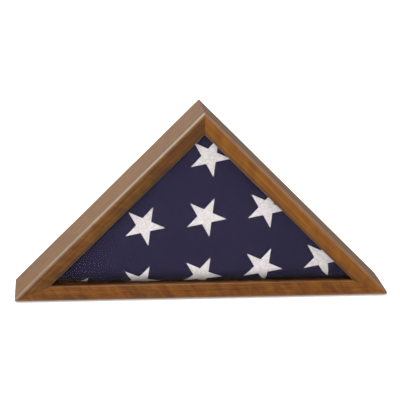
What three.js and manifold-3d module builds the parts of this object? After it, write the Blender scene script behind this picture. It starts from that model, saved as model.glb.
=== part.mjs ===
// Triangular display case for a folded flag.
//
// Three mitred walnut boards form a right-angled box with a glass front. The folded flag stands
// inside it, and a plywood back, held by brass turn buttons, lifts out to put the flag in.
// Millimetres, +Z up, front towards -Y. The origin is on the standing surface, under the middle.

import * as THREE from 'three';
import { mergeVertices } from 'three/addons/utils/BufferGeometryUtils.js';
import Module from 'manifold-3d';

const wasm = await Module();
wasm.setup();

// Outline of the case: a right-angled triangle standing on its long side.
const WIDTH = 660;               // tip to tip, before the tips are blunted
const HEIGHT = WIDTH / 2;
const DEPTH = 115;               // front face to back face of the boards
const TIP_CUT = 5;               // each sharp base tip is cut off square by this much
const PAD = 1.5;                 // felt pads lift the boards off the shelf

// Section of the boards, measured inwards from the outer face and back from the front face.
const WALL = 18;                 // thickness behind the glass rebate
const FACE = 27.5;               // width of the front face
const LIP = 9.5;                 // thickness of the lip that holds the glass
const NOSE = 7.5;                // radius along the outer front edge
const INNER_EDGE = 2.5;          // radius along the inner front edge
const BACK_EDGE = 1;             // small flat along the outer back edge
const REBATE_WIDTH = 8.5;        // rebate for the back panel
const REBATE_DEPTH = 5.6;
const MITRE_GAP = 0.2;           // glue line between two boards
const CLEARANCE = 0.3;           // between pieces that touch or slide

// Glass and the strips that hold it.
const GLASS = 2.5;
const GLASS_OVERLAP = WALL + 1;  // the pane's edge, measured in from the outer face
const GLASS_TIP_CUT = 4;
const STOP_WIDTH = 8;
const STOP_DEPTH = 7;
const STOP_CHAMFER = 2;
const PIN = { shank: 0.6, head: 1.2, headHeight: 0.7, length: 14, point: 2 };
const PIN_PLACES = [0.27, 0.73]; // shares of a side's length

// Loose tongues hidden in the mitres.
const BISCUIT = { length: 47, width: 15, thickness: 4, tipWidth: 3 };
const BISCUIT_DEPTHS = { front: 34, back: 83 };
const BASE_MITRE_MIDDLE = 34;    // from a corner's tip to the middle of its mitre
const TOP_MITRE_MIDDLE = 15.5;

// Folded flag, as a plain block.
const FLAG_DEPTH = 79;
const FLAG_FRONT_ROOM = 1.4;
const FLAG_SIDE_ROOM = 3.5;
const FLAG_TIP_CUT = 14;
const FLAG_EDGE = 8;

// Back panel, its pull tab and the turn buttons.
const PANEL = 5;
const PANEL_ROOM = 0.7;
const PANEL_TIP_CUT = 6;
const TAB = { width: 14, length: 40, thickness: 1.4, hole: 1.5, aboveHole: 8, fromApex: 75 };
const BUTTON = { thickness: 1.6, pivot: 4, tip: 3, reach: 17, hole: 1.8, bevel: 0.25 };
const BUTTON_SCREW = { head: 3.2, headHeight: 1.5, shank: 1.5, length: 16 };
const BUTTON_PLACES = { left: [0.3, 0.72], right: [0.28, 0.7], bottom: [0.22, 0.75] };
const TAB_SCREW = { head: 2.6, headHeight: 1.2, shank: 1.2, length: 5 };
const SCREW_POINT = 3;
const SLOT_WIDTH = 0.7;
const PAD_RADIUS = 10;
const PAD_FROM_MIDDLE = 235;
const PAD_FROM_FACE = 26;

const BUTTON_STACK = CLEARANCE + BUTTON.thickness + CLEARANCE + BUTTON_SCREW.headHeight;
const FRONT = -(DEPTH + BUTTON_STACK) / 2;
const BACK = FRONT + DEPTH;
const GLASS_FRONT = FRONT + LIP + CLEARANCE;
const STOP_FRONT = GLASS_FRONT + GLASS + CLEARANCE;
const FLAG_FRONT = STOP_FRONT + STOP_DEPTH + FLAG_FRONT_ROOM;
const PANEL_BACK = BACK - CLEARANCE;
const BEYOND = 5;                // how far a cutting body reaches past what it cuts
const SEGMENTS = 24;

const look = {
  walnut: { color: 0x6b4423, roughness: 0.45, metalness: 0 },
  beech: { color: 0xc9a877, roughness: 0.8, metalness: 0 },
  glass: { color: 0xdfe8e6, roughness: 0.05, metalness: 0, transparent: true, opacity: 0.2 },
  poplar: { color: 0x5a3a20, roughness: 0.7, metalness: 0 },
  steel: { color: 0xb4b4b0, roughness: 0.35, metalness: 1 },
  bunting: { color: 0x2a2440, roughness: 0.9, metalness: 0 },
  plywood: { color: 0x7a4f2b, roughness: 0.6, metalness: 0 },
  brass: { color: 0xb08d4a, roughness: 0.35, metalness: 1 },
  leather: { color: 0x4a2d1a, roughness: 0.65, metalness: 0 },
  felt: { color: 0x2b2a28, roughness: 1, metalness: 0 },
};

const displayCase = new THREE.Group();

function add(name, geometry, finish) {
  const mesh = new THREE.Mesh(geometry, new THREE.MeshStandardMaterial(look[finish]));
  mesh.name = name;
  displayCase.add(mesh);
}

// Solids for cutting and joining.

function solid(geometry) {
  const bare = geometry.clone();
  bare.deleteAttribute('normal');
  bare.deleteAttribute('uv');
  const merged = mergeVertices(bare, 1e-4);
  return new wasm.Manifold(new wasm.Mesh({
    numProp: 3,
    vertProperties: new Float32Array(merged.attributes.position.array),
    triVerts: new Uint32Array(merged.index.array),
  }));
}

function geometryOf(manifold) {
  const mesh = manifold.getMesh();
  const geometry = new THREE.BufferGeometry();
  const positions = new Float32Array(mesh.vertProperties);
  geometry.setAttribute('position', new THREE.BufferAttribute(positions, 3));
  geometry.setIndex(new THREE.BufferAttribute(new Uint32Array(mesh.triVerts), 1));
  geometry.computeVertexNormals();
  return geometry;
}

// A prism whose outline lies in the front plane, as [x, z] points, from one depth to another.
function prism(points, from, to) {
  const outline = new THREE.Shape(points.map(([x, z]) => new THREE.Vector2(x, z)));
  const geometry = new THREE.ExtrudeGeometry(outline, { depth: to - from, bevelEnabled: false });
  return geometry.rotateX(Math.PI / 2).translate(0, to, 0);
}

// Outline of a triangle set in from the case's outline, with its base tips cut off square.
function insetTriangle(legInset, baseInset, tipCut) {
  const top = PAD + HEIGHT - legInset * Math.SQRT2;
  const base = PAD + baseInset;
  const half = top - base;
  return [[tipCut - half, base], [half - tipCut, base], [half - tipCut, base + tipCut],
    [0, top], [tipCut - half, base + tipCut]];
}

// The three sides of the case. Each has its first corner, its last corner and its inward normal,
// and runs so that inward x back = along.
const leftTip = new THREE.Vector3(-WIDTH / 2, 0, PAD);
const rightTip = new THREE.Vector3(WIDTH / 2, 0, PAD);
const apex = new THREE.Vector3(0, 0, PAD + HEIGHT);
const back = new THREE.Vector3(0, 1, 0);
const baseAngle = Math.PI / 4;
const apexAngle = Math.PI / 2;

const sides = {
  left: { from: leftTip, to: apex, fromAngle: baseAngle, toAngle: apexAngle },
  right: { from: apex, to: rightTip, fromAngle: apexAngle, toAngle: baseAngle },
  bottom: { from: rightTip, to: leftTip, fromAngle: baseAngle, toAngle: baseAngle },
};
for (const side of Object.values(sides)) {
  side.along = side.to.clone().sub(side.from).normalize();
  side.inward = back.clone().cross(side.along);
  side.length = side.to.distanceTo(side.from);
}

// A point on a side: how far along, how far in from the outer face, how far back.
function onSide(side, along, inward, depth) {
  return side.from.clone().addScaledVector(side.along, along)
    .addScaledVector(side.inward, inward).setY(depth);
}

// A bar of one section along a whole side. The section's x runs inwards and its y runs back.
function bar(side, section) {
  const geometry = new THREE.ExtrudeGeometry(section, {
    depth: side.length, bevelEnabled: false, curveSegments: 7,
  });
  const place = new THREE.Matrix4().makeBasis(side.inward, back, side.along);
  return geometry.applyMatrix4(place.setPosition(side.from));
}

// The wedge between a side's two mitres, drawn back by half the gap at each of them.
function mitreWedge(side, gap) {
  const start = side.fromAngle / 2;
  const end = side.toAngle / 2;
  const first = gap / 2 / Math.sin(start);
  const last = side.length - gap / 2 / Math.sin(end);
  const meet = (last - first) / (1 / Math.tan(start) + 1 / Math.tan(end));
  const corners = [
    onSide(side, first - BEYOND / Math.tan(start), -BEYOND, 0),
    onSide(side, last + BEYOND / Math.tan(end), -BEYOND, 0),
    onSide(side, first + meet / Math.tan(start), meet, 0),
  ];
  return solid(prism(corners.map((p) => [p.x, p.z]).reverse(), FRONT - BEYOND, BACK + BEYOND));
}

// Boards.

function boardSection() {
  const s = new THREE.Shape();
  s.moveTo(NOSE, FRONT);
  s.lineTo(FACE - INNER_EDGE, FRONT);
  s.absarc(FACE - INNER_EDGE, FRONT + INNER_EDGE, INNER_EDGE, -Math.PI / 2, 0, false);
  s.lineTo(FACE, FRONT + LIP);
  s.lineTo(WALL, FRONT + LIP);
  s.lineTo(WALL, BACK - REBATE_DEPTH);
  s.lineTo(WALL - REBATE_WIDTH, BACK - REBATE_DEPTH);
  s.lineTo(WALL - REBATE_WIDTH, BACK);
  s.lineTo(BACK_EDGE, BACK);
  s.lineTo(0, BACK - BACK_EDGE);
  s.lineTo(0, FRONT + NOSE);
  s.absarc(NOSE, FRONT + NOSE, NOSE, Math.PI, Math.PI * 1.5, false);
  return s;
}

const tipLimit = WIDTH / 2 - TIP_CUT;
const above = PAD + HEIGHT + BEYOND;
const betweenTips = [[-tipLimit, 0], [tipLimit, 0], [tipLimit, above], [-tipLimit, above]];
const blunting = solid(prism(betweenTips, FRONT - BEYOND, BACK + BEYOND));

const boards = {};
for (const [name, side] of Object.entries(sides)) {
  const full = solid(bar(side, boardSection()));
  boards[name] = full.intersect(mitreWedge(side, MITRE_GAP)).intersect(blunting);
}

// Biscuits: two lens-shaped tongues across each mitre, near its inner edge.

const mitres = {
  left: {
    tip: leftTip, joins: ['left', 'bottom'],
    bisector: baseAngle / 2, middle: BASE_MITRE_MIDDLE,
  },
  right: {
    tip: rightTip, joins: ['right', 'bottom'],
    bisector: Math.PI - baseAngle / 2, middle: BASE_MITRE_MIDDLE,
  },
  top: { tip: apex, joins: ['left', 'right'], bisector: -Math.PI / 2, middle: TOP_MITRE_MIDDLE },
};

function biscuit(mitre, depth, extra) {
  const half = BISCUIT.length / 2 + extra;
  const rise = BISCUIT.width / 2 + extra;
  const tip = BISCUIT.tipWidth / 2;
  const outline = new THREE.Shape();
  outline.moveTo(-half, -tip);
  outline.quadraticCurveTo(0, -2 * rise + tip, half, -tip);
  outline.lineTo(half, tip);
  outline.quadraticCurveTo(0, 2 * rise - tip, -half, tip);
  const thickness = BISCUIT.thickness + 2 * extra;
  const geometry = new THREE.ExtrudeGeometry(outline, {
    depth: thickness, bevelEnabled: false, curveSegments: 8,
  });
  geometry.translate(0, 0, -thickness / 2);
  const inwards = new THREE.Vector3(Math.cos(mitre.bisector), 0, Math.sin(mitre.bisector));
  const place = new THREE.Matrix4().makeBasis(back, inwards.clone().cross(back), inwards);
  const centre = mitre.tip.clone().addScaledVector(inwards, mitre.middle).setY(FRONT + depth);
  return geometry.applyMatrix4(place.setPosition(centre));
}

for (const [mitreName, mitre] of Object.entries(mitres)) {
  for (const [end, depth] of Object.entries(BISCUIT_DEPTHS)) {
    add(`biscuit_${mitreName}_${end}`, biscuit(mitre, depth, 0), 'beech');
    const slot = solid(biscuit(mitre, depth, CLEARANCE));
    for (const joined of mitre.joins) {
      boards[joined] = boards[joined].subtract(slot);
    }
  }
}

// Glass and the three strips that hold it, each with two pins.

const paneOutline = insetTriangle(GLASS_OVERLAP, GLASS_OVERLAP, GLASS_TIP_CUT);
add('glass_pane', prism(paneOutline, GLASS_FRONT, GLASS_FRONT + GLASS), 'glass');

// A turned piece lying along a direction: its profile is [radius, distance] points from axis to axis.
function turned(profile, position, direction, segments = SEGMENTS) {
  const geometry = new THREE.LatheGeometry(profile.map(([r, h]) => new THREE.Vector2(r, h)), segments);
  geometry.applyQuaternion(new THREE.Quaternion().setFromUnitVectors(back, direction));
  return geometry.translate(position.x, position.y, position.z);
}

function rod(radius, length, position, direction) {
  return turned([[0, 0], [radius, 0], [radius, length], [0, length]], position, direction);
}

function stopSection() {
  const inner = WALL + CLEARANCE;
  const s = new THREE.Shape();
  s.moveTo(inner, STOP_FRONT);
  s.lineTo(inner + STOP_WIDTH, STOP_FRONT);
  s.lineTo(inner + STOP_WIDTH, STOP_FRONT + STOP_DEPTH - STOP_CHAMFER);
  s.lineTo(inner + STOP_WIDTH - STOP_CHAMFER, STOP_FRONT + STOP_DEPTH);
  s.lineTo(inner, STOP_FRONT + STOP_DEPTH);
  return s;
}

const { shank, head, headHeight, length: pinLength, point } = PIN;
const pinProfile = [[0, -headHeight], [head, -headHeight], [head, 0], [shank, 0],
  [shank, pinLength - point], [0, pinLength]];
for (const [name, side] of Object.entries(sides)) {
  let stop = solid(bar(side, stopSection())).intersect(mitreWedge(side, 2 * CLEARANCE));
  const outward = side.inward.clone().negate();
  const depth = STOP_FRONT + (STOP_DEPTH - STOP_CHAMFER) / 2;
  PIN_PLACES.forEach((share, i) => {
    const headSeat = WALL + CLEARANCE + STOP_WIDTH + CLEARANCE;
    const seat = onSide(side, share * side.length, headSeat, depth);
    const hole = solid(rod(PIN.shank + CLEARANCE, PIN.length + CLEARANCE, seat, outward));
    stop = stop.subtract(hole);
    boards[name] = boards[name].subtract(hole);
    add(`stop_pin_${name}_${i + 1}`, turned(pinProfile, seat, outward, 10), 'steel');
  });
  add(`glass_stop_${name}`, geometryOf(stop), 'poplar');
}

// Folded flag: a plain block with soft edges that stands on the bottom board.

function flagBlock() {
  const outline = insetTriangle(WALL + FLAG_SIDE_ROOM, WALL + CLEARANCE, FLAG_TIP_CUT);
  const shape = new THREE.Shape(outline.map(([x, z]) => new THREE.Vector2(x, z)));
  const geometry = new THREE.ExtrudeGeometry(shape, {
    depth: FLAG_DEPTH - 2 * FLAG_EDGE, bevelThickness: FLAG_EDGE, bevelSize: FLAG_EDGE,
    bevelOffset: -FLAG_EDGE, bevelSegments: 3,
  });
  return geometry.rotateX(Math.PI / 2).translate(0, FLAG_FRONT + FLAG_DEPTH - FLAG_EDGE, 0);
}
add('folded_flag', flagBlock(), 'bunting');

// Screws: domed head, straight shank with a point, and a slot across the head.

function screwProfile(size) {
  const dome = [[0, 1], [0.55, 0.92], [0.9, 0.55], [1, 0]]
    .map(([r, h]) => [r * size.head, h * size.headHeight]);
  return [...dome, [size.shank, 0], [size.shank, SCREW_POINT - size.length], [0, -size.length]]
    .reverse();
}

function screw(size, seat) {
  const body = solid(turned(screwProfile(size), seat, back));
  const slot = new THREE.BoxGeometry(3 * size.head, size.headHeight / 2, SLOT_WIDTH);
  slot.translate(seat.x, seat.y + size.headHeight, seat.z);
  return geometryOf(body.subtract(solid(slot)));
}

// The hole for a screw, cut forwards from just behind the face it enters.
function pilotHole(size, seat) {
  const mouth = seat.clone().setY(seat.y + 1);
  return rod(size.shank + CLEARANCE, size.length, mouth, back.clone().negate());
}

// Back panel with its leather pull tab, near the top.

const panelInset = WALL - REBATE_WIDTH + PANEL_ROOM;
const panelOutline = insetTriangle(panelInset, panelInset, PANEL_TIP_CUT);
const panel = solid(prism(panelOutline, PANEL_BACK - PANEL, PANEL_BACK));
const tabHole = new THREE.Vector3(0, PANEL_BACK, PAD + HEIGHT - TAB.fromApex);
add('back_panel', geometryOf(panel.subtract(solid(pilotHole(TAB_SCREW, tabHole)))), 'plywood');

function pullTab() {
  const half = TAB.width / 2;
  const endCentre = half - TAB.length + TAB.aboveHole;
  const shape = new THREE.Shape();
  shape.moveTo(-half, TAB.aboveHole);
  shape.lineTo(-half, endCentre);
  shape.absarc(0, endCentre, half, Math.PI, 2 * Math.PI, false);
  shape.lineTo(half, TAB.aboveHole);
  shape.holes.push(new THREE.Path().absarc(0, 0, TAB.hole, 0, 2 * Math.PI, true));
  const geometry = new THREE.ExtrudeGeometry(shape, {
    depth: TAB.thickness, bevelEnabled: false, curveSegments: 12,
  });
  geometry.rotateX(Math.PI / 2).translate(0, TAB.thickness, 0);
  return geometry.translate(tabHole.x, tabHole.y, tabHole.z);
}
add('pull_tab', pullTab(), 'leather');
const tabScrewSeat = tabHole.clone().setY(PANEL_BACK + TAB.thickness + CLEARANCE);
add('pull_tab_screw', screw(TAB_SCREW, tabScrewSeat), 'brass');

// Turn buttons: brass tongues that swivel on their screws. They are drawn parked along the rails,
// clear of the panel, with the tongue pointing along the side.

function turnButton(side) {
  const { pivot, tip, reach, hole, thickness, bevel } = BUTTON;
  const lean = Math.acos((pivot - tip) / reach);
  const shape = new THREE.Shape();
  shape.absarc(0, 0, pivot, lean, 2 * Math.PI - lean, false);
  shape.absarc(reach, 0, tip, -lean, lean, false);
  shape.holes.push(new THREE.Path().absarc(0, 0, hole, 0, 2 * Math.PI, true));
  const geometry = new THREE.ExtrudeGeometry(shape, {
    depth: thickness - 2 * bevel, bevelThickness: bevel, bevelSize: bevel, bevelOffset: -bevel,
    bevelSegments: 1, curveSegments: 14,
  });
  geometry.translate(0, 0, bevel);
  const across = back.clone().cross(side.along);
  const outward = side.along.clone().cross(across);
  return geometry.applyMatrix4(new THREE.Matrix4().makeBasis(side.along, across, outward));
}

const railMiddle = (WALL - REBATE_WIDTH) / 2;
for (const [name, side] of Object.entries(sides)) {
  BUTTON_PLACES[name].forEach((share, i) => {
    const seat = onSide(side, share * side.length, railMiddle, BACK);
    const button = turnButton(side);
    button.computeBoundingBox();
    const lift = BACK + CLEARANCE - button.boundingBox.min.y;
    add(`turn_button_${name}_${i + 1}`, button.translate(seat.x, lift, seat.z), 'brass');
    const headSeat = seat.clone().setY(BACK + 2 * CLEARANCE + BUTTON.thickness);
    add(`button_screw_${name}_${i + 1}`, screw(BUTTON_SCREW, headSeat), 'brass');
    boards[name] = boards[name].subtract(solid(pilotHole(BUTTON_SCREW, seat)));
  });
}

for (const [name, board] of Object.entries(boards)) {
  add(`${name}_board`, geometryOf(board), 'walnut');
}

// Felt pads under the bottom board.

const padPlaces = { left: -PAD_FROM_MIDDLE, right: PAD_FROM_MIDDLE };
const padDepths = { front: FRONT + PAD_FROM_FACE, back: BACK - PAD_FROM_FACE };
for (const [sideName, x] of Object.entries(padPlaces)) {
  for (const [end, y] of Object.entries(padDepths)) {
    const pad = rod(PAD_RADIUS, PAD, new THREE.Vector3(x, y, 0), new THREE.Vector3(0, 0, 1));
    add(`felt_pad_${sideName}_${end}`, pad, 'felt');
  }
}

export default displayCase;
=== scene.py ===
# Triangular walnut display case with a folded flag, in the order in which it is put together.
# Metres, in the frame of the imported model: +X along the long side, +Y from front to back, +Z up.

import math

import bmesh
import bpy
import numpy as np
from mathutils import Matrix, Vector


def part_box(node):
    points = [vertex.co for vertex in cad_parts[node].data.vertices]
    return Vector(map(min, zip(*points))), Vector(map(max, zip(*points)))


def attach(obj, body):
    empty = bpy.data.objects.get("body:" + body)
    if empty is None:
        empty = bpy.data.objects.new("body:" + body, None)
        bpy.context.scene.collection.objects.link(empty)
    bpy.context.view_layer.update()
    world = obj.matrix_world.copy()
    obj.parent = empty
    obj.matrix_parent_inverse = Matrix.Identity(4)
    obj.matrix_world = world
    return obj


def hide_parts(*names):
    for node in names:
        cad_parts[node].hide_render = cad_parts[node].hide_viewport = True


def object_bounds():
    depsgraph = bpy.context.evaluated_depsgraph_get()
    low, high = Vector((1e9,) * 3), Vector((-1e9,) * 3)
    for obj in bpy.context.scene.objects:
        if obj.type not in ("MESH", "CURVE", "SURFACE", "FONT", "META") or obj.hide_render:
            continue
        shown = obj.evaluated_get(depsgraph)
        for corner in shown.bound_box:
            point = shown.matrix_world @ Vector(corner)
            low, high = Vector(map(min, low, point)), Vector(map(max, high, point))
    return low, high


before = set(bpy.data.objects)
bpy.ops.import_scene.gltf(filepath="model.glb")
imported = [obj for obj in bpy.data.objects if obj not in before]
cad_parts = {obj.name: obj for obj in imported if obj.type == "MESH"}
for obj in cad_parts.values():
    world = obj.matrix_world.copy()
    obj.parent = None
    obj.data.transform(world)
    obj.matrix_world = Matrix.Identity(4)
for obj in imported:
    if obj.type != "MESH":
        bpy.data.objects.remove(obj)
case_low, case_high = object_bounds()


# Boards: three lengths of black walnut, moulded with a rounded outer arris and a lip, mitred and
# glued. Walnut is a dark brown wood with pale and dark streaks along the board and open pores. Its
# satin finish leaves the flat faces nearly matt and the rounded arrises glossier.

MM = 0.001
FIGURE_SLANT = math.radians(-52)
# painted shade at the sloping boards' inner lip: it begins the first height above the lip and is
# darkest below the second
LIP_SHADE_REACH = 12 * MM
LIP_SHADE_START = -1 * MM


def linear(code):
    """An sRGB hex colour as linear RGBA."""
    channels = [int(code[i:i + 2], 16) / 255 for i in (1, 3, 5)]
    return (*[c / 12.92 if c <= 0.04045 else ((c + 0.055) / 1.055) ** 2.4 for c in channels], 1)


def put(tree, kind, settings=None, links=None):
    """One more node, with its settings and the sockets that feed it."""
    node = tree.nodes.new(kind)
    for key, value in (settings or {}).items():
        if isinstance(key, str) and hasattr(node, key):
            setattr(node, key, value)
        else:
            node.inputs[key].default_value = value
    for key, source in (links or {}).items():
        tree.links.new(source, node.inputs[key])
    return node


def blank(name):
    """A new material, with its node tree and its surface shader."""
    material = bpy.data.materials.new(name)
    material.use_nodes = True
    return material, material.node_tree, material.node_tree.nodes["Principled BSDF"]


def timber(name, turn, start, tones, streak, arris_gloss, roughness, figure=0.3, lip=None):
    """Straight-grained wood, whose grain runs along X once the wood is turned about Y.

    It is cut from the log at start. Streak is the width of its streaks, figure the share of its
    pattern that slants across the grain, and lip the height of the inner lip, towards which and
    below which the colour is darkened as painted shade, if any.
    """
    material, tree, surface = blank(name)
    place = put(tree, "ShaderNodeTexCoord")
    board = put(tree, "ShaderNodeMapping", {"Rotation": (0, turn, 0), "Location": start},
                {"Vector": place.outputs["Object"]})
    # Each pattern has its own length along the grain and width across it. Fibres and pores are
    # drawn several times wider than real ones, so that they show.
    sizes = {"streaks": (260 * MM, streak), "figure": (42 * MM, 14 * MM),
             "fibres": (45 * MM, 2.2 * MM), "pores": (7 * MM, 0.45 * MM)}
    pattern = {}
    for part, (length, width) in sizes.items():
        slant = FIGURE_SLANT if part == "figure" else 0
        turned = put(tree, "ShaderNodeMapping", {"Rotation": (0, slant, 0)},
                     {"Vector": board.outputs["Vector"]})
        stretched = put(tree, "ShaderNodeMapping", {"Scale": (1 / length, 1 / width, 1 / width)},
                        {"Vector": turned.outputs["Vector"]})
        pattern[part] = put(tree, "ShaderNodeTexNoise",
                            {"Scale": 1, "Detail": 5, "Roughness": 0.6, "Distortion": 0.5},
                            {"Vector": stretched.outputs["Vector"]}).outputs["Fac"]
    broad = put(tree, "ShaderNodeMath", {"operation": "MULTIPLY", 1: 0.7 - figure},
                {0: pattern["streaks"]})
    mottled = put(tree, "ShaderNodeMath", {"operation": "MULTIPLY_ADD", 1: figure},
                  {0: pattern["figure"], 2: broad.outputs[0]})
    grain = put(tree, "ShaderNodeMath", {"operation": "MULTIPLY_ADD", 1: 0.3},
                {0: pattern["fibres"], 2: mottled.outputs[0]})
    # the four tones from dark latewood to pale earlywood, over the middle of the pattern's range
    ramp = put(tree, "ShaderNodeValToRGB", links={"Fac": grain.outputs[0]})
    tone_places = (0.36, 0.46, 0.54, 0.64)
    while len(ramp.color_ramp.elements) < len(tone_places):
        ramp.color_ramp.elements.new(0.5)
    for element, spot, tone in zip(ramp.color_ramp.elements, tone_places, tones):
        element.position = spot
        element.color = linear(tone)
    open_pores = put(tree, "ShaderNodeMapRange", {"From Min": 0.60, "From Max": 0.68},
                     {"Value": pattern["pores"]})
    pore_share = put(tree, "ShaderNodeMath", {"operation": "MULTIPLY", 1: 0.45},
                     {0: open_pores.outputs[0]})
    colour = put(tree, "ShaderNodeMix", {"data_type": "RGBA", "blend_type": "MULTIPLY",
                                         7: (0.35, 0.28, 0.24, 1)},
                 {0: pore_share.outputs[0], 6: ramp.outputs["Color"]})
    # open grain looks darker at a low angle, where its pores hide its bright fibres
    low_angle = put(tree, "ShaderNodeLayerWeight", {"Blend": 0.5})
    hidden = put(tree, "ShaderNodeMapRange",
                 {"From Min": 0.82, "From Max": 0.93, "To Min": 1.0, "To Max": 0.65},
                 {"Value": low_angle.outputs["Facing"]})
    shade = hidden.outputs[0]
    if lip:
        # painted shade: the colour darkens towards the inner lip and in the rebates behind it, which
        # lie in shadow
        height = put(tree, "ShaderNodeSeparateXYZ", links={0: board.outputs["Vector"]})
        painted_lip_shade = put(tree, "ShaderNodeMapRange",
                    {"interpolation_type": "SMOOTHSTEP", "From Min": lip + start[2] + LIP_SHADE_START,
                     "From Max": lip + start[2] + LIP_SHADE_REACH, "To Min": 0.4, "To Max": 1.0},
                    {"Value": height.outputs["Z"]})
        shade = put(tree, "ShaderNodeMath", {"operation": "MULTIPLY"},
                    {0: shade, 1: painted_lip_shade.outputs[0]}).outputs[0]
    seen = put(tree, "ShaderNodeVectorMath", {"operation": "SCALE"},
               {0: colour.outputs[2], "Scale": shade})
    relief = put(tree, "ShaderNodeMath", {"operation": "SUBTRACT"},
                 {0: pattern["fibres"], 1: pore_share.outputs[0]})
    bump = put(tree, "ShaderNodeBump", {"Strength": 0.35, "Distance": 0.12 * MM},
               {"Height": relief.outputs[0]})
    sheen = put(tree, "ShaderNodeMapRange", {"To Min": roughness - 0.08, "To Max": roughness + 0.1},
                {"Value": grain.outputs[0]})
    tree.links.new(seen.outputs[0], surface.inputs["Base Color"])
    tree.links.new(sheen.outputs[0], surface.inputs["Roughness"])
    tree.links.new(bump.outputs[0], surface.inputs["Normal"])
    surface.inputs["Specular IOR Level"].default_value = 0.13
    # hands and polish keep rounded arrises glossier than flat faces: only there does the surface
    # face partly, but not wholly, to the front
    shape = put(tree, "ShaderNodeNewGeometry")
    facing = put(tree, "ShaderNodeSeparateXYZ", links={0: shape.outputs["Normal"]})
    to_front = put(tree, "ShaderNodeMath", {"operation": "ABSOLUTE"}, {0: facing.outputs["Y"]})
    from_flat = put(tree, "ShaderNodeMath", {"operation": "SUBTRACT", 0: 1.0},
                    {1: to_front.outputs[0]})
    between = put(tree, "ShaderNodeMath", {"operation": "MULTIPLY"},
                  {0: to_front.outputs[0], 1: from_flat.outputs[0]})
    gloss = put(tree, "ShaderNodeMapRange",
                {"From Min": 0.04, "From Max": 0.22, "To Min": 0.04, "To Max": arris_gloss},
                {"Value": between.outputs[0]})
    tree.links.new(gloss.outputs[0], surface.inputs["Coat Weight"])
    surface.inputs["Coat Roughness"].default_value = 0.5
    surface.inputs["Coat IOR"].default_value = 1.7
    return material


def shade_smooth(mesh):
    """Lets the light run over the edges between a mesh's faces."""
    mesh.polygons.foreach_set("use_smooth", [True] * len(mesh.polygons))


def dress(node_name, material):
    """Gives a CAD node its material, and shades its round stretches smoothly."""
    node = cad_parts[node_name]
    if "custom_normal" in node.data.attributes:
        node.data.attributes.remove(node.data.attributes["custom_normal"])
    node.data.materials.clear()
    node.data.materials.append(material)
    shade_smooth(node.data)
    weld = node.modifiers.new("joined_facets", "WELD")
    weld.merge_threshold = 0.005 * MM
    crisp = node.modifiers.new("crisp_edges", "EDGE_SPLIT")
    crisp.split_angle = math.radians(32)
    flat = node.modifiers.new("flat_faces", "WEIGHTED_NORMAL")
    flat.keep_sharp = True


# each board has its own tones: partly the real difference between boards, partly painted light, the
# left board darker as painted shade on it and the right board lighter as painted light on it
WALNUT_TONES_AND_SHADE = {"left_board": ("#3a2009", "#4b2b0b", "#5b380e", "#6b4513"),
                "right_board": ("#52300a", "#653c0f", "#734613", "#835319"),
                "bottom_board": ("#432407", "#5a330b", "#693d10", "#7b4c18")}
BOARD_TURNS = {"left_board": math.radians(45), "right_board": math.radians(-45), "bottom_board": 0}
# the front face is this wide from outer arris to inner lip, and the sloping boards' lip lies this
# far from the middle of the base, square to the board
BOARD_FACE = 27.5 * MM
LEG_LIP = case_high.z / math.sqrt(2) - BOARD_FACE
WALNUT_STREAK = 5 * MM
for index, (board, turn) in enumerate(BOARD_TURNS.items()):
    cut_at = (0.37 * index, 0.11 * index, 0.23 * index)
    slopes = board != "bottom_board"
    walnut = timber(f"satin_walnut_{board}", turn, cut_at, WALNUT_TONES_AND_SHADE[board], WALNUT_STREAK,
                    arris_gloss=1.0, roughness=0.7, figure=0.28 if slopes else 0.5,
                    lip=LEG_LIP if slopes else None)
    dress(board, walnut)


# Biscuits: lens-shaped tongues of compressed beech, glued into slots across each mitre. Pale, plain
# and matt. Nothing of them shows once the case is glued up.

beech = timber("pressed_beech", 0, (0.1, 0.2, 0.3), ("#a98455", "#c09a68", "#cda977", "#dabb8c"),
               streak=3 * MM, arris_gloss=0, roughness=0.75)
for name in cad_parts:
    if name.startswith("biscuit"):
        dress(name, beech)


# Glass: one triangular pane of 2.5 mm float glass, polished and clear, dropped into the rebate
# behind the lip. It shows only as a faint reflection, weaker than a real pane's, so that the flag
# keeps its full colour. Lamps shine through it.

glass, tree, surface = blank("clear_float_glass")
surface.inputs["Base Color"].default_value = linear("#f6fbf9")
surface.inputs["Transmission Weight"].default_value = 1
surface.inputs["IOR"].default_value = 1.5
surface.inputs["Specular Tint"].default_value = linear("#303030")
wiped = put(tree, "ShaderNodeTexNoise", {"Scale": 1 / (14 * MM), "Detail": 4})
smear = put(tree, "ShaderNodeMapRange", {"From Min": 0.35, "From Max": 0.75,
                                         "To Min": 0.0, "To Max": 0.02},
            {"Value": wiped.outputs["Fac"]})
tree.links.new(smear.outputs[0], surface.inputs["Roughness"])
path = put(tree, "ShaderNodeLightPath")
through = put(tree, "ShaderNodeBsdfTransparent", {"Color": linear("#f6fbf9")})
pane = put(tree, "ShaderNodeMixShader", links={
    0: path.outputs["Is Shadow Ray"], 1: surface.outputs[0], 2: through.outputs[0]})
tree.links.new(pane.outputs[0], tree.nodes["Material Output"].inputs["Surface"])
dress("glass_pane", glass)


# Glass stops: strips of poplar stained dark, pinned to the boards behind the pane with blackened
# wire pins. The stain evens out the grain, and the strip is left matt.

for side, turn in {"left": math.radians(45), "right": math.radians(-45), "bottom": 0}.items():
    stained = timber(f"stained_poplar_{side}", turn, (0.5, 0.4, 0.2),
                     ("#1d1109", "#24160d", "#2c1c12", "#352318"),
                     streak=5 * MM, arris_gloss=0, roughness=0.65)
    dress(f"glass_stop_{side}", stained)

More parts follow.
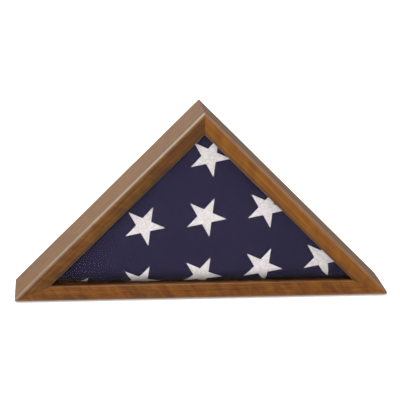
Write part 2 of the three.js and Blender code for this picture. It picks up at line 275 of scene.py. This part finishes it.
pin_steel, tree, surface = blank("blackened_steel_wire")
surface.inputs["Base Color"].default_value = linear("#3b3835")
surface.inputs["Metallic"].default_value = 1
drawn = put(tree, "ShaderNodeTexNoise", {"Scale": 1 / (0.5 * MM), "Detail": 2})
worn = put(tree, "ShaderNodeMapRange", {"To Min": 0.28, "To Max": 0.42},
           {"Value": drawn.outputs["Fac"]})
tree.links.new(worn.outputs[0], surface.inputs["Roughness"])
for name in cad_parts:
    if name.startswith("stop_pin"):
        dress(name, pin_steel)


# Flag: one sheet of cotton bunting, 5 by 9.5 ft, folded in half lengthwise twice to a strip of four
# plies with the blue outside, and then folded into triangles from the striped end. Each crease of
# the strip wraps round all the layers inside it.

HOIST = 1.524
FLY = 2.896
PLIES = 4
FOLDS = 14
STRIP = HOIST / PLIES
LAYERS = FOLDS // 2 * PLIES
STRIPES = 13
UNION_FLY = 0.76 * HOIST
UNION_HOIST = HOIST * 7 / STRIPES

# the outer layer keeps clear of the folded flag's box by a gap, and each layer further in is
# shorter by a step
BOTTOM_ROLL = 34 * MM
BOTTOM_GAP = 0.3 * MM
BOTTOM_STEP = 0.4 * MM
SIDE_ROLL = 7 * MM
SIDE_GAP = 0.8 * MM
SIDE_STEP = 0.25 * MM
FACE_GAP = 1.2 * MM
# how far a crease between two plies stands out, as a share of their distance
PLY_BULGE = 0.45

# divisions along an edge of a layer, and steps round a crease
COARSE = 24
FINE = 4 * COARSE
PLY_STEPS = 6
CREASE_STEPS = 8
OUTER_CREASE_STEPS = 18

flag_low, flag_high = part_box("folded_flag")
middle = (flag_low.y + flag_high.y) / 2
layer_pitch = ((flag_high.y - flag_low.y) / 2 - FACE_GAP) / LAYERS


def depth(layer):
    """How far a layer lies from the middle of the folded flag."""
    return (layer + 0.5) * layer_pitch


def roll(layer, full):
    """How far the crease round this layer stands out, the inner ones a little over their share."""
    return full * ((layer + 0.5) / (LAYERS - 0.5)) ** 0.8


def corners(layer):
    """Right, left and top corner of a layer's flat part."""
    inner = LAYERS - 1 - layer
    bottom = flag_low.z + BOTTOM_GAP + BOTTOM_STEP * inner + roll(layer, BOTTOM_ROLL)
    side = SIDE_GAP + SIDE_STEP * inner + roll(layer, SIDE_ROLL)
    top = flag_high.z - math.sqrt(2) * side
    return np.array([(top - bottom, bottom), (bottom - top, bottom), (0, top)])


def strip_corners(fold):
    """Where the same corners lie on the strip: along it from the fly end, and across it."""
    right = (2 * ((fold + 1) // 4), 0)
    left = (2 * ((fold - 1) // 4) + 1, 1)
    top = (fold // 2, 1 if fold // 2 % 2 == 0 else 0)
    return np.array([right, left, top], float) * STRIP


def cloth_place(ply, strip_point):
    """A strip point of one ply, outermost ply 0, as distances from the hoist and from the top."""
    along, across = strip_point[:, 0], strip_point[:, 1]
    down = (2 * STRIP - across, 2 * STRIP + across, 4 * STRIP - across, across)[ply]
    return np.stack([FLY - along, down], 1)


def unevenness(x, z):
    """Soft unevenness of the outer face, a slight crown and waves, that fades out at the creases."""
    from_bottom = z - flag_low.z - BOTTOM_ROLL
    from_legs = (flag_high.z - SIDE_ROLL - SIDE_GAP - z - np.abs(x)) / math.sqrt(2)
    fade = np.clip(from_bottom / (50 * MM), 0, 1) * np.clip(from_legs / (30 * MM), 0, 1)
    fade = fade * fade * (3 - 2 * fade)
    crown = 0.6 * MM
    long_waves = 0.32 * MM * np.sin(31 * x + 19 * z + 0.6) * np.sin(23 * z - 11 * x + 1.9)
    short_waves = 0.1 * MM * np.sin(140 * x - 95 * z) * np.sin(118 * z + 57 * x + 0.8)
    return (crown + long_waves + short_waves) * fade


def triangle_grid(count):
    """Corner weights (right, left, top), faces and the three edges of a divided triangle."""
    index = {}
    weights = []
    for j in range(count + 1):
        for i in range(count + 1 - j):
            index[i, j] = len(weights)
            weights.append((i / count, (count - i - j) / count, j / count))
    faces = []
    for j in range(count):
        for i in range(count - j):
            faces.append((index[i, j], index[i + 1, j], index[i, j + 1]))
            if i + j < count - 1:
                faces.append((index[i + 1, j], index[i + 1, j + 1], index[i, j + 1]))
    edges = {"bottom": [index[i, 0] for i in range(count + 1)],
             "left": [index[0, j] for j in range(count + 1)],
             "right": [index[count - j, j] for j in range(count + 1)]}
    return np.array(weights), faces, edges


cloth_points = []
cloth_places = []
cloth_faces = []
patch_edges = {}
for fold in range(1, FOLDS + 1):
    facing = -1 if fold % 2 else 1
    for ply in range(PLIES):
        layer = (fold - 1) // 2 * PLIES + PLIES - 1 - ply
        outermost = layer == LAYERS - 1
        weights, faces, edges = triangle_grid(FINE if outermost else COARSE)
        flat = weights @ corners(layer)
        lift = depth(layer) + unevenness(flat[:, 0], flat[:, 1]) * layer / LAYERS
        base = len(cloth_points)
        cloth_points += list(np.stack([flat[:, 0], middle + facing * lift, flat[:, 1]], 1))
        cloth_places += list(cloth_place(ply, weights @ strip_corners(fold)))
        cloth_faces += [tuple(base + v for v in face) for face in faces]
        patch_edges[fold, ply] = {
            "layer": layer, **{name: [base + v for v in edge] for name, edge in edges.items()}}

OUTWARD = {"bottom": np.array([0, 0, -1]), "right": np.array([1, 0, 1]) / math.sqrt(2),
           "left": np.array([-1, 0, 1]) / math.sqrt(2)}


def fullness(share):
    """How much of its roll a crease keeps along its length: less where the left corner lifts."""
    return 1 - 0.2 * np.clip(1 - 2 * share, 0, 1) ** 8


def corner_spread(x, half, out):
    """How far a crease widens towards its ends as it stands out, so that it fills the corners."""
    spread_from = 0.86
    towards_end = np.clip((np.abs(x) / half - spread_from) / (1 - spread_from), 0, 1)
    return np.sign(x) * out * towards_end ** 2


def round_section(angle):
    """A point of a crease's section: half of a circle drawn a little towards a square."""
    squareness = 2.4
    power = 2 / squareness
    along = math.copysign(abs(math.cos(angle)) ** power, math.cos(angle))
    return along, max(math.sin(angle), 0) ** power


def wrap(first, second, edge, bulge, steps):
    """Joins two patches of cloth round one edge, by a crease that stands out by its bulge."""
    start, end = first[edge], second[edge]
    if len(start) < len(end):
        start, end = end, start
    share = np.linspace(0, 1, len(start))
    a = np.array([cloth_points[v] for v in start])
    b_own = np.array([cloth_points[v] for v in end])
    own_share = np.linspace(0, 1, len(end))
    b = np.stack([np.interp(share, own_share, b_own[:, i]) for i in range(3)], 1)
    place_a = np.array([cloth_places[v] for v in start])
    place_b = np.array([cloth_places[v] for v in end])
    place_b = np.stack([np.interp(share, own_share, place_b[:, i]) for i in range(2)], 1)
    out = bulge * fullness(share)
    # the cloth that half the crease takes up, a quarter of an oval's girth, goes square to it
    crease = place_a[-1] - place_a[0]
    square_to = np.array([-crease[1], crease[0]]) / np.linalg.norm(crease)
    taken_up = math.pi / 2 * math.hypot(bulge, np.linalg.norm(a[0] - b[0]) / 2) / math.sqrt(2)
    rows = [start]
    for step in range(1, steps):
        along, outward = round_section(math.pi * step / steps)
        row = (a + b) / 2 + (a - b) / 2 * along
        row += OUTWARD[edge] * (out * outward)[:, None]
        if edge == "bottom":
            row[:, 0] += corner_spread(row[:, 0], abs(a[0, 0]), out * outward)
        rows.append(range(len(cloth_points), len(cloth_points) + len(row)))
        cloth_points.extend(row)
        drift = 2 * min(step, steps - step) / steps * taken_up
        cloth_places.extend(place_a + (place_b - place_a) * step / steps + square_to * drift)
    if len(start) == len(end):
        rows.append(end)
    else:
        ratio = (len(start) - 1) // (len(end) - 1)
        last = []
        for i in range(len(start)):
            if i % ratio == 0:
                last.append(end[i // ratio])
            else:
                last.append(len(cloth_points))
                cloth_points.append(b[i])
                cloth_places.append(place_b[i])
        rows.append(last)
    for near, far in zip(rows, rows[1:]):
        for i in range(len(start) - 1):
            cloth_faces.append((near[i], near[i + 1], far[i + 1], far[i]))


for fold in range(1, FOLDS):
    edge = "bottom" if fold % 2 else ("left" if fold // 2 % 2 else "right")
    for ply in range(PLIES):
        here, there = patch_edges[fold, ply], patch_edges[fold + 1, ply]
        full = BOTTOM_ROLL if edge == "bottom" else SIDE_ROLL
        bulge = roll((here["layer"] + there["layer"]) / 2, full)
        shows = ply == 0 and fold >= FOLDS - 2
        wrap(here, there, edge, bulge, OUTER_CREASE_STEPS if shows else CREASE_STEPS)
for fold in range(1, FOLDS + 1):
    edge = "right" if (fold // 2) % 2 else "left"
    folded_top = strip_corners(fold)[2][1] > 0
    pairs = ((0, 3), (1, 2)) if folded_top else ((0, 1),)
    for outer, inner in pairs:
        here, there = patch_edges[fold, outer], patch_edges[fold, inner]
        gap = abs(here["layer"] - there["layer"]) * layer_pitch
        wrap(here, there, edge, PLY_BULGE * gap, PLY_STEPS)


def new_piece(name, points, faces):
    """A piece of its own in the scene, with its mesh."""
    mesh = bpy.data.meshes.new(name)
    mesh.from_pydata([tuple(point) for point in points], [], faces)
    mesh.update()
    piece = bpy.data.objects.new(name, mesh)
    bpy.context.scene.collection.objects.link(piece)
    return piece


def lay_out(mesh, name, places):
    """Keeps in a UV map where each point of a mesh lies in its pattern, in metres."""
    layer = mesh.uv_layers.new(name=name)
    vertex_of_loop = np.zeros(len(mesh.loops), int)
    mesh.loops.foreach_get("vertex_index", vertex_of_loop)
    layer.data.foreach_set("uv", np.array(places)[vertex_of_loop].astype(np.float32).ravel())


flag = new_piece("folded_flag_cloth", cloth_points, cloth_faces)
one_way = bmesh.new()
one_way.from_mesh(flag.data)
bmesh.ops.recalc_face_normals(one_way, faces=one_way.faces)
one_way.to_mesh(flag.data)
one_way.free()
shade_smooth(flag.data)
lay_out(flag.data, "cloth_place", cloth_places)

# Bunting is a plain-woven cloth with a matt face and a slight bloom of fibres at its edges. The
# thread pitch is drawn at 1.6 mm, about four times the real one, so that it shows.
bunting, tree, surface = blank("cotton_bunting")
THREAD = 1.6 * MM
# a wave texture of scale 1 repeats itself after this length
WAVE_PERIOD = 2 * math.pi / 20
cloth_uv = put(tree, "ShaderNodeUVMap", {"uv_map": "cloth_place"})
threads = []
for direction in ("X", "Y"):
    threads.append(put(tree, "ShaderNodeTexWave",
                       {"bands_direction": direction, "Scale": WAVE_PERIOD / THREAD,
                        "Distortion": 0.6, "Detail": 1}, {"Vector": cloth_uv.outputs[0]}))
weave = put(tree, "ShaderNodeMath", {"operation": "MULTIPLY"},
            {0: threads[0].outputs["Fac"], 1: threads[1].outputs["Fac"]})
slubs = put(tree, "ShaderNodeTexNoise", {"Scale": 1 / (9 * MM), "Detail": 4, "Roughness": 0.6},
            {"Vector": cloth_uv.outputs[0]})
apart = put(tree, "ShaderNodeSeparateXYZ", links={0: cloth_uv.outputs[0]})
in_fly = put(tree, "ShaderNodeMath", {"operation": "LESS_THAN", 1: UNION_FLY},
             {0: apart.outputs[0]})
in_hoist = put(tree, "ShaderNodeMath", {"operation": "LESS_THAN", 1: UNION_HOIST},
               {0: apart.outputs[1]})
in_union = put(tree, "ShaderNodeMath", {"operation": "MULTIPLY"},
               {0: in_fly.outputs[0], 1: in_hoist.outputs[0]})
stripe_count = put(tree, "ShaderNodeMath", {"operation": "MULTIPLY", 1: STRIPES / HOIST / 2},
                   {0: apart.outputs[1]})
stripe_turn = put(tree, "ShaderNodeMath", {"operation": "FRACT"}, {0: stripe_count.outputs[0]})
white_stripe = put(tree, "ShaderNodeMath", {"operation": "GREATER_THAN", 1: 0.5},
                   {0: stripe_turn.outputs[0]})
stripes = put(tree, "ShaderNodeMix",
              {"data_type": "RGBA", 6: linear("#8c1c28"), 7: linear("#ded9d2")},
              {0: white_stripe.outputs[0]})
navy = put(tree, "ShaderNodeMix",
           {"data_type": "RGBA", 6: linear("#19132c"), 7: linear("#231c38")},
           {0: slubs.outputs["Fac"]})
dyed = put(tree, "ShaderNodeMix", {"data_type": "RGBA"},
           {0: in_union.outputs[0], 6: stripes.outputs[2], 7: navy.outputs[2]})
thread_shade = put(tree, "ShaderNodeMapRange", {"To Min": 0.9, "To Max": 1.06},
                   {"Value": weave.outputs[0]})
woven = put(tree, "ShaderNodeVectorMath", {"operation": "SCALE"},
            {0: dyed.outputs[2], "Scale": thread_shade.outputs[0]})
cloth_height = put(tree, "ShaderNodeMath", {"operation": "MULTIPLY_ADD", 1: 0.5},
                   {0: slubs.outputs["Fac"], 2: weave.outputs[0]})
cloth_bump = put(tree, "ShaderNodeBump", {"Strength": 0.5, "Distance": 0.12 * MM},
                 {"Height": cloth_height.outputs[0]})
tree.links.new(woven.outputs[0], surface.inputs["Base Color"])
tree.links.new(cloth_bump.outputs[0], surface.inputs["Normal"])
surface.inputs["Roughness"].default_value = 0.85
surface.inputs["Specular IOR Level"].default_value = 0.12
surface.inputs["Sheen Weight"].default_value = 0.03
surface.inputs["Sheen Roughness"].default_value = 0.5
flag.data.materials.append(bunting)

# Stars: each one is satin-stitched through the bunting in white thread, so that it stands a little
# proud of the cloth, highest along the middle of each arm. They lie in rows across the blue, every
# second row half a step along, and go over the creases with the cloth.
STAR_RADIUS = 36.4 * MM
STAR_NOTCH = (3 - math.sqrt(5)) / 2
COLUMN_STEP = 82.5 * MM
ROW_STEP = 68.2 * MM
FLAG_TOP = math.radians(137.3)
ONE_STAR = (4.8 * MM, 143 * MM)
STAR_GRID = 14
STITCH_HEIGHT = 0.55 * MM
STITCH_FOOT = 0.12 * MM
STITCH_SLOPE = 0.22
STITCH_DROP = 0.45
LEG_MARGIN = 6 * MM
SAG = 6.5 * MM
SAG_FROM = 160 * MM
SAG_REACH = 40 * MM
FEELER = 0.5 * MM
UNIT_SECTION = np.array([round_section(angle) for angle in np.linspace(0, math.pi, 300)])

outer = LAYERS - 1
right_corner, left_corner, _ = corners(outer)
front_bottom = right_corner[1]


def crease_section(across, out):
    """Points of the crease's section with their arc lengths, from front to back."""
    spots = UNIT_SECTION * (across, out)
    lengths = np.r_[0, np.cumsum(np.hypot(*np.diff(spots, axis=0).T))]
    return lengths, spots


def on_cloth(x, z):
    """Where points of the front's own plane lie on the folded cloth, with the way out of it.

    Below the front they go round the bottom crease to the back. The cloth sags at the left.
    """
    z = z - SAG * np.clip((-x - SAG_FROM) / SAG_REACH, 0, 1)
    share = np.clip((x - left_corner[0]) / (right_corner[0] - left_corner[0]), 0.001, 0.999)
    below = front_bottom - z
    place = np.stack([x, middle - depth(outer) - unevenness(x, z) * outer / LAYERS, z], 1)
    way = np.tile([0.0, -1.0, 0.0], (len(x), 1))
    for i in np.flatnonzero(below > 0):
        lengths, spots = crease_section(depth(outer), BOTTOM_ROLL * fullness(share[i]))
        edge_lift = unevenness(x[i], front_bottom) * outer / LAYERS
        if below[i] < lengths[-1]:
            here = [np.interp(below[i], lengths, spots[:, k]) for k in (0, 1)]
            ahead = [np.interp(below[i] + FEELER, lengths, spots[:, k]) for k in (0, 1)]
            place[i] = (x[i] + corner_spread(x[i], right_corner[0], here[1]),
                        middle - here[0] - edge_lift * here[0] / depth(outer),
                        front_bottom - here[1])
            tangent = np.array([0, here[0] - ahead[0], here[1] - ahead[1]])
            out = np.cross(tangent, [1, 0, 0])
            way[i] = out / max(np.linalg.norm(out), 1e-9)
        else:
            up = front_bottom + below[i] - lengths[-1]
            place[i] = (x[i], middle + depth(outer) + unevenness(x[i], up) * outer / LAYERS, up)
            way[i] = (0, 1, 0)
    return place, way


star_points = []
star_faces = []
star_threads = []
weights, faces, _ = triangle_grid(STAR_GRID)
outside_leg = flag_high.z - LEG_MARGIN


def ray(angle):
    """A step of one that way, on the front's plane."""
    return np.array([math.cos(angle), math.sin(angle)])


def off_the_cloth(centre):
    """Whether a star's centre lies well past a sloping side, so that the star is left out there."""
    height = centre[1]
    if height <= front_bottom:
        height = 2 * front_bottom - centre[1] - 2 * depth(outer)
    return abs(centre[0]) + height > outside_leg + 0.4 * STAR_RADIUS


def half_arm(centre, arm, side):
    """Stitches half an arm of a star: from its tip and the notch on one side to the centre."""
    tip_angle = FLAG_TOP + arm * math.tau / 5
    notch_angle = tip_angle + side * math.pi / 5
    tip = centre + STAR_RADIUS * ray(tip_angle)
    notch = centre + STAR_RADIUS * STAR_NOTCH * ray(notch_angle)
    triangle = np.array([tip, notch, centre] if side > 0 else [notch, tip, centre])
    spots = weights @ triangle
    at_tip, at_notch, from_edge = weights.T if side > 0 else weights.T[[1, 0, 2]]
    swell = np.sqrt(np.clip(from_edge / STITCH_SLOPE, 0, 1)) * (1 - STITCH_DROP * at_notch)
    above_crease = np.where(spots[:, 1] > front_bottom, spots[:, 1], 0)
    inside = np.abs(spots[:, 0]) + above_crease < outside_leg
    place, way = on_cloth(spots[:, 0], spots[:, 1])
    base = len(star_points)
    star_points.extend(place + way * (STITCH_FOOT + STITCH_HEIGHT * swell)[:, None])
    star_threads.extend(np.stack([at_tip, from_edge], 1) * STAR_RADIUS)
    star_faces.extend(tuple(base + v for v in face) for face in faces
                      if all(inside[v] for v in face))


up_way = ray(FLAG_TOP)
fly_way = np.array([up_way[1], -up_way[0]])
for row in range(-9, 4):
    for column in range(-9, 10):
        centre = np.array(ONE_STAR) + column * COLUMN_STEP * fly_way + row * ROW_STEP * up_way
        if (row + column) % 2 or off_the_cloth(centre):
            continue
        for arm in range(5):
            for side in (-1, 1):
                half_arm(centre, arm, side)

stars = new_piece("embroidered_stars", star_points, star_faces)
lay_out(stars.data, "stitch_place", star_threads)
joined = bmesh.new()
joined.from_mesh(stars.data)
bmesh.ops.remove_doubles(joined, verts=joined.verts, dist=0.02 * MM)
bmesh.ops.delete(joined, geom=[v for v in joined.verts if not v.link_faces], context="VERTS")
joined.to_mesh(stars.data)
joined.free()
shade_smooth(stars.data)

# Rayon thread is white with a slight gloss. Its stitches run across each arm. They are drawn 1.1 mm
# apart, about three times the real spacing, so that they show.
stitch_thread, tree, surface = blank("white_embroidery_thread")
STITCH = 1.1 * MM
stitch_uv = put(tree, "ShaderNodeUVMap", {"uv_map": "stitch_place"})
stitches = put(tree, "ShaderNodeTexWave",
               {"bands_direction": "Y", "Scale": WAVE_PERIOD / STITCH, "Distortion": 1.2,
                "Detail": 1.5, "Detail Scale": 2}, {"Vector": stitch_uv.outputs[0]})
star_place = put(tree, "ShaderNodeTexCoord")
lumps = put(tree, "ShaderNodeTexNoise", {"Scale": 1 / (3.2 * MM), "Detail": 3, "Roughness": 0.6},
            {"Vector": star_place.outputs["Object"]})
lump_shade = put(tree, "ShaderNodeMapRange", {"From Min": 0.38, "From Max": 0.62},
                 {"Value": lumps.outputs["Fac"]})
white = put(tree, "ShaderNodeMix",
            {"data_type": "RGBA", 6: linear("#c0b3bb"), 7: linear("#dacdd5")},
            {0: lump_shade.outputs[0]})
stitch_height = put(tree, "ShaderNodeMath", {"operation": "MULTIPLY_ADD", 1: 1.5},
                    {0: lumps.outputs["Fac"], 2: stitches.outputs["Fac"]})
stitch_bump = put(tree, "ShaderNodeBump", {"Strength": 0.6, "Distance": 0.35 * MM},
                  {"Height": stitch_height.outputs[0]})
tree.links.new(white.outputs[2], surface.inputs["Base Color"])
tree.links.new(stitch_bump.outputs[0], surface.inputs["Normal"])
surface.inputs["Roughness"].default_value = 0.6
surface.inputs["Sheen Weight"].default_value = 0.1
stars.data.materials.append(stitch_thread)

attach(flag, "case")
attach(stars, "case")
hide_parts("folded_flag")


# Back panel: 5 mm walnut-faced plywood, cut to drop into the rebate, with a matt lacquer. A tab of
# vegetable-tanned leather is screwed near its top, to pull it out by.

panel_veneer = timber("walnut_faced_plywood", 0, (0.9, 0.1, 0.6),
                      ("#4a2e18", "#6b4526", "#80562f", "#946a3f"),
                      streak=16 * MM, arris_gloss=0.1, roughness=0.55)
dress("back_panel", panel_veneer)

leather, tree, surface = blank("vegetable_tanned_leather")
hide_place = put(tree, "ShaderNodeTexCoord")
pebbles = put(tree, "ShaderNodeTexVoronoi", {"Scale": 1 / (0.9 * MM)},
              {"Vector": hide_place.outputs["Object"]})
tanning = put(tree, "ShaderNodeTexNoise", {"Scale": 1 / (8 * MM), "Detail": 4},
              {"Vector": hide_place.outputs["Object"]})
hide = put(tree, "ShaderNodeMix",
           {"data_type": "RGBA", 6: linear("#4a2c18"), 7: linear("#6d4526")},
           {0: tanning.outputs["Fac"]})
hide_bump = put(tree, "ShaderNodeBump", {"Strength": 0.4, "Distance": 0.1 * MM},
                {"Height": pebbles.outputs["Distance"]})
tree.links.new(hide.outputs[2], surface.inputs["Base Color"])
tree.links.new(hide_bump.outputs[0], surface.inputs["Normal"])
surface.inputs["Roughness"].default_value = 0.55
dress("pull_tab", leather)


# Turn buttons and screws: pressed brass tongues, each on a slotted round-head brass screw in the
# back rail. Lacquered brass, a warm yellow metal with fine marks from the press and from fingers.

brass, tree, surface = blank("lacquered_brass")
metal_place = put(tree, "ShaderNodeTexCoord")
handling = put(tree, "ShaderNodeTexNoise", {"Scale": 1 / (3 * MM), "Detail": 5, "Roughness": 0.7},
               {"Vector": metal_place.outputs["Object"]})
tarnish = put(tree, "ShaderNodeMix",
              {"data_type": "RGBA", 6: linear("#c19a55"), 7: linear("#a17c3c")},
              {0: handling.outputs["Fac"]})
rubbed = put(tree, "ShaderNodeMapRange", {"To Min": 0.24, "To Max": 0.46},
             {"Value": handling.outputs["Fac"]})
marks = put(tree, "ShaderNodeBump", {"Strength": 0.15, "Distance": 0.03 * MM},
            {"Height": handling.outputs["Fac"]})
tree.links.new(tarnish.outputs[2], surface.inputs["Base Color"])
tree.links.new(rubbed.outputs[0], surface.inputs["Roughness"])
tree.links.new(marks.outputs[0], surface.inputs["Normal"])
surface.inputs["Metallic"].default_value = 1
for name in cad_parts:
    if name.startswith(("turn_button", "button_screw", "pull_tab_screw")):
        dress(name, brass)


# Felt pads: four discs of dark pressed wool under the bottom board, stuck on. Matt and fuzzy.

felt, tree, surface = blank("pressed_wool_felt")
wool_place = put(tree, "ShaderNodeTexCoord")
wool = put(tree, "ShaderNodeTexNoise", {"Scale": 1 / (0.6 * MM), "Detail": 4, "Roughness": 0.75},
           {"Vector": wool_place.outputs["Object"]})
wool_colour = put(tree, "ShaderNodeMix",
                  {"data_type": "RGBA", 6: linear("#1f1e1c"), 7: linear("#3a3835")},
                  {0: wool.outputs["Fac"]})
wool_bump = put(tree, "ShaderNodeBump", {"Strength": 0.8, "Distance": 0.2 * MM},
                {"Height": wool.outputs["Fac"]})
tree.links.new(wool_colour.outputs[2], surface.inputs["Base Color"])
tree.links.new(wool_bump.outputs[0], surface.inputs["Normal"])
surface.inputs["Roughness"].default_value = 0.95
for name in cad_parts:
    if name.startswith("felt_pad"):
        dress(name, felt)


# Studio: a seamless sweep of white paper under and behind the case. A broad soft light stands to
# the left and above, weaker ones to the front, the right and overhead, and one lights the sweep.

scene = bpy.context.scene
scene.view_settings.view_transform = "Standard"
centre = (case_low + case_high) / 2
width = case_high.x - case_low.x

SWEEP_FRONT = -6.0
SWEEP_DEPTH = 3.0
SWEEP_RADIUS = 1.2
SWEEP_TOP = 6.0
SWEEP_HALF_WIDTH = 8.0
profile = [(SWEEP_FRONT, 0.0), (SWEEP_DEPTH, 0.0)]
profile += [(SWEEP_DEPTH + SWEEP_RADIUS * math.sin(angle), SWEEP_RADIUS * (1 - math.cos(angle)))
            for angle in np.linspace(0.1, math.pi / 2, 14)]
profile.append((SWEEP_DEPTH + SWEEP_RADIUS, SWEEP_TOP))
sweep_points = [(x, y, z) for y, z in profile for x in (-SWEEP_HALF_WIDTH, SWEEP_HALF_WIDTH)]
sweep_faces = [(2 * i, 2 * i + 1, 2 * i + 3, 2 * i + 2) for i in range(len(profile) - 1)]
sweep = new_piece("paper_sweep", sweep_points, sweep_faces)
shade_smooth(sweep.data)

# Uncoated paper, matt and evenly white. It gives off a little light of its own, in place of the
# lamps that wash a studio's sweep out to white.
paper, tree, surface = blank("white_seamless_paper")
surface.inputs["Base Color"].default_value = linear("#f8f8f8")
surface.inputs["Emission Color"].default_value = linear("#ffffff")
surface.inputs["Emission Strength"].default_value = 0.25
surface.inputs["Roughness"].default_value = 0.9
sweep.data.materials.append(paper)


def softbox(name, place, target, size, power, tint):
    """A square soft light that faces its target."""
    light = bpy.data.lights.new(name, "AREA")
    light.shape = "SQUARE"
    light.size = size
    light.energy = power
    light.color = linear(tint)[:3]
    lamp = bpy.data.objects.new(name, light)
    lamp.location = place
    lamp.rotation_euler = (Vector(target) - Vector(place)).to_track_quat("-Z", "Y").to_euler()
    scene.collection.objects.link(lamp)


softbox("key_light", (-1.8, 0.1, 1.95), centre, 1.1, 84, "#f6ffec")
softbox("front_fill", (-0.35, -1.85, 0.9), centre, 0.8, 22.5, "#fff8f4")
softbox("side_light", (1.25, -0.3, 0.95), centre, 0.45, 5.5, "#fff6f0")
softbox("top_light", (0.1, -0.4, 1.25), centre, 0.4, 3, "#fffaf4")
softbox("backdrop_light", (-1.1, 2.3, 1.9), (-1.3, 4.3, 0.7), 1.8, 150, "#ffffff")

world = bpy.data.worlds.new("pale_surround")
world.use_nodes = True
world.node_tree.nodes["Background"].inputs["Color"].default_value = linear("#f4f2f0")
world.node_tree.nodes["Background"].inputs["Strength"].default_value = 0.35
scene.world = world

# The camera stands a little to the left of the case and above it, and looks at its front.
CAMERA_TURN = math.radians(5.67)
CAMERA_DROP = math.radians(15.18)
CAMERA_ROLL = math.radians(0.644)
CAMERA_DISTANCE = 4.193 * width
CAMERA_LENS = 143.7
AIM_SIDE = -7.2 * MM
AIM_HEIGHT = 0.541
aim = Vector((centre.x + AIM_SIDE, case_low.y,
              case_low.z + AIM_HEIGHT * (case_high.z - case_low.z)))
forward = Vector((math.sin(CAMERA_TURN) * math.cos(CAMERA_DROP),
                  math.cos(CAMERA_TURN) * math.cos(CAMERA_DROP), -math.sin(CAMERA_DROP)))
level = forward.cross(Vector((0, 0, 1))).normalized()
upward = level.cross(forward)
right = level * math.cos(CAMERA_ROLL) + upward * math.sin(CAMERA_ROLL)
up = right.cross(forward)
lens = bpy.data.cameras.new("camera")
lens.sensor_width = 36
lens.lens = CAMERA_LENS
camera = bpy.data.objects.new("camera", lens)
camera.matrix_world = Matrix.Translation(aim - forward * CAMERA_DISTANCE) @ Matrix(
    (right, up, -forward)).transposed().to_4x4()
scene.collection.objects.link(camera)
scene.camera = camera
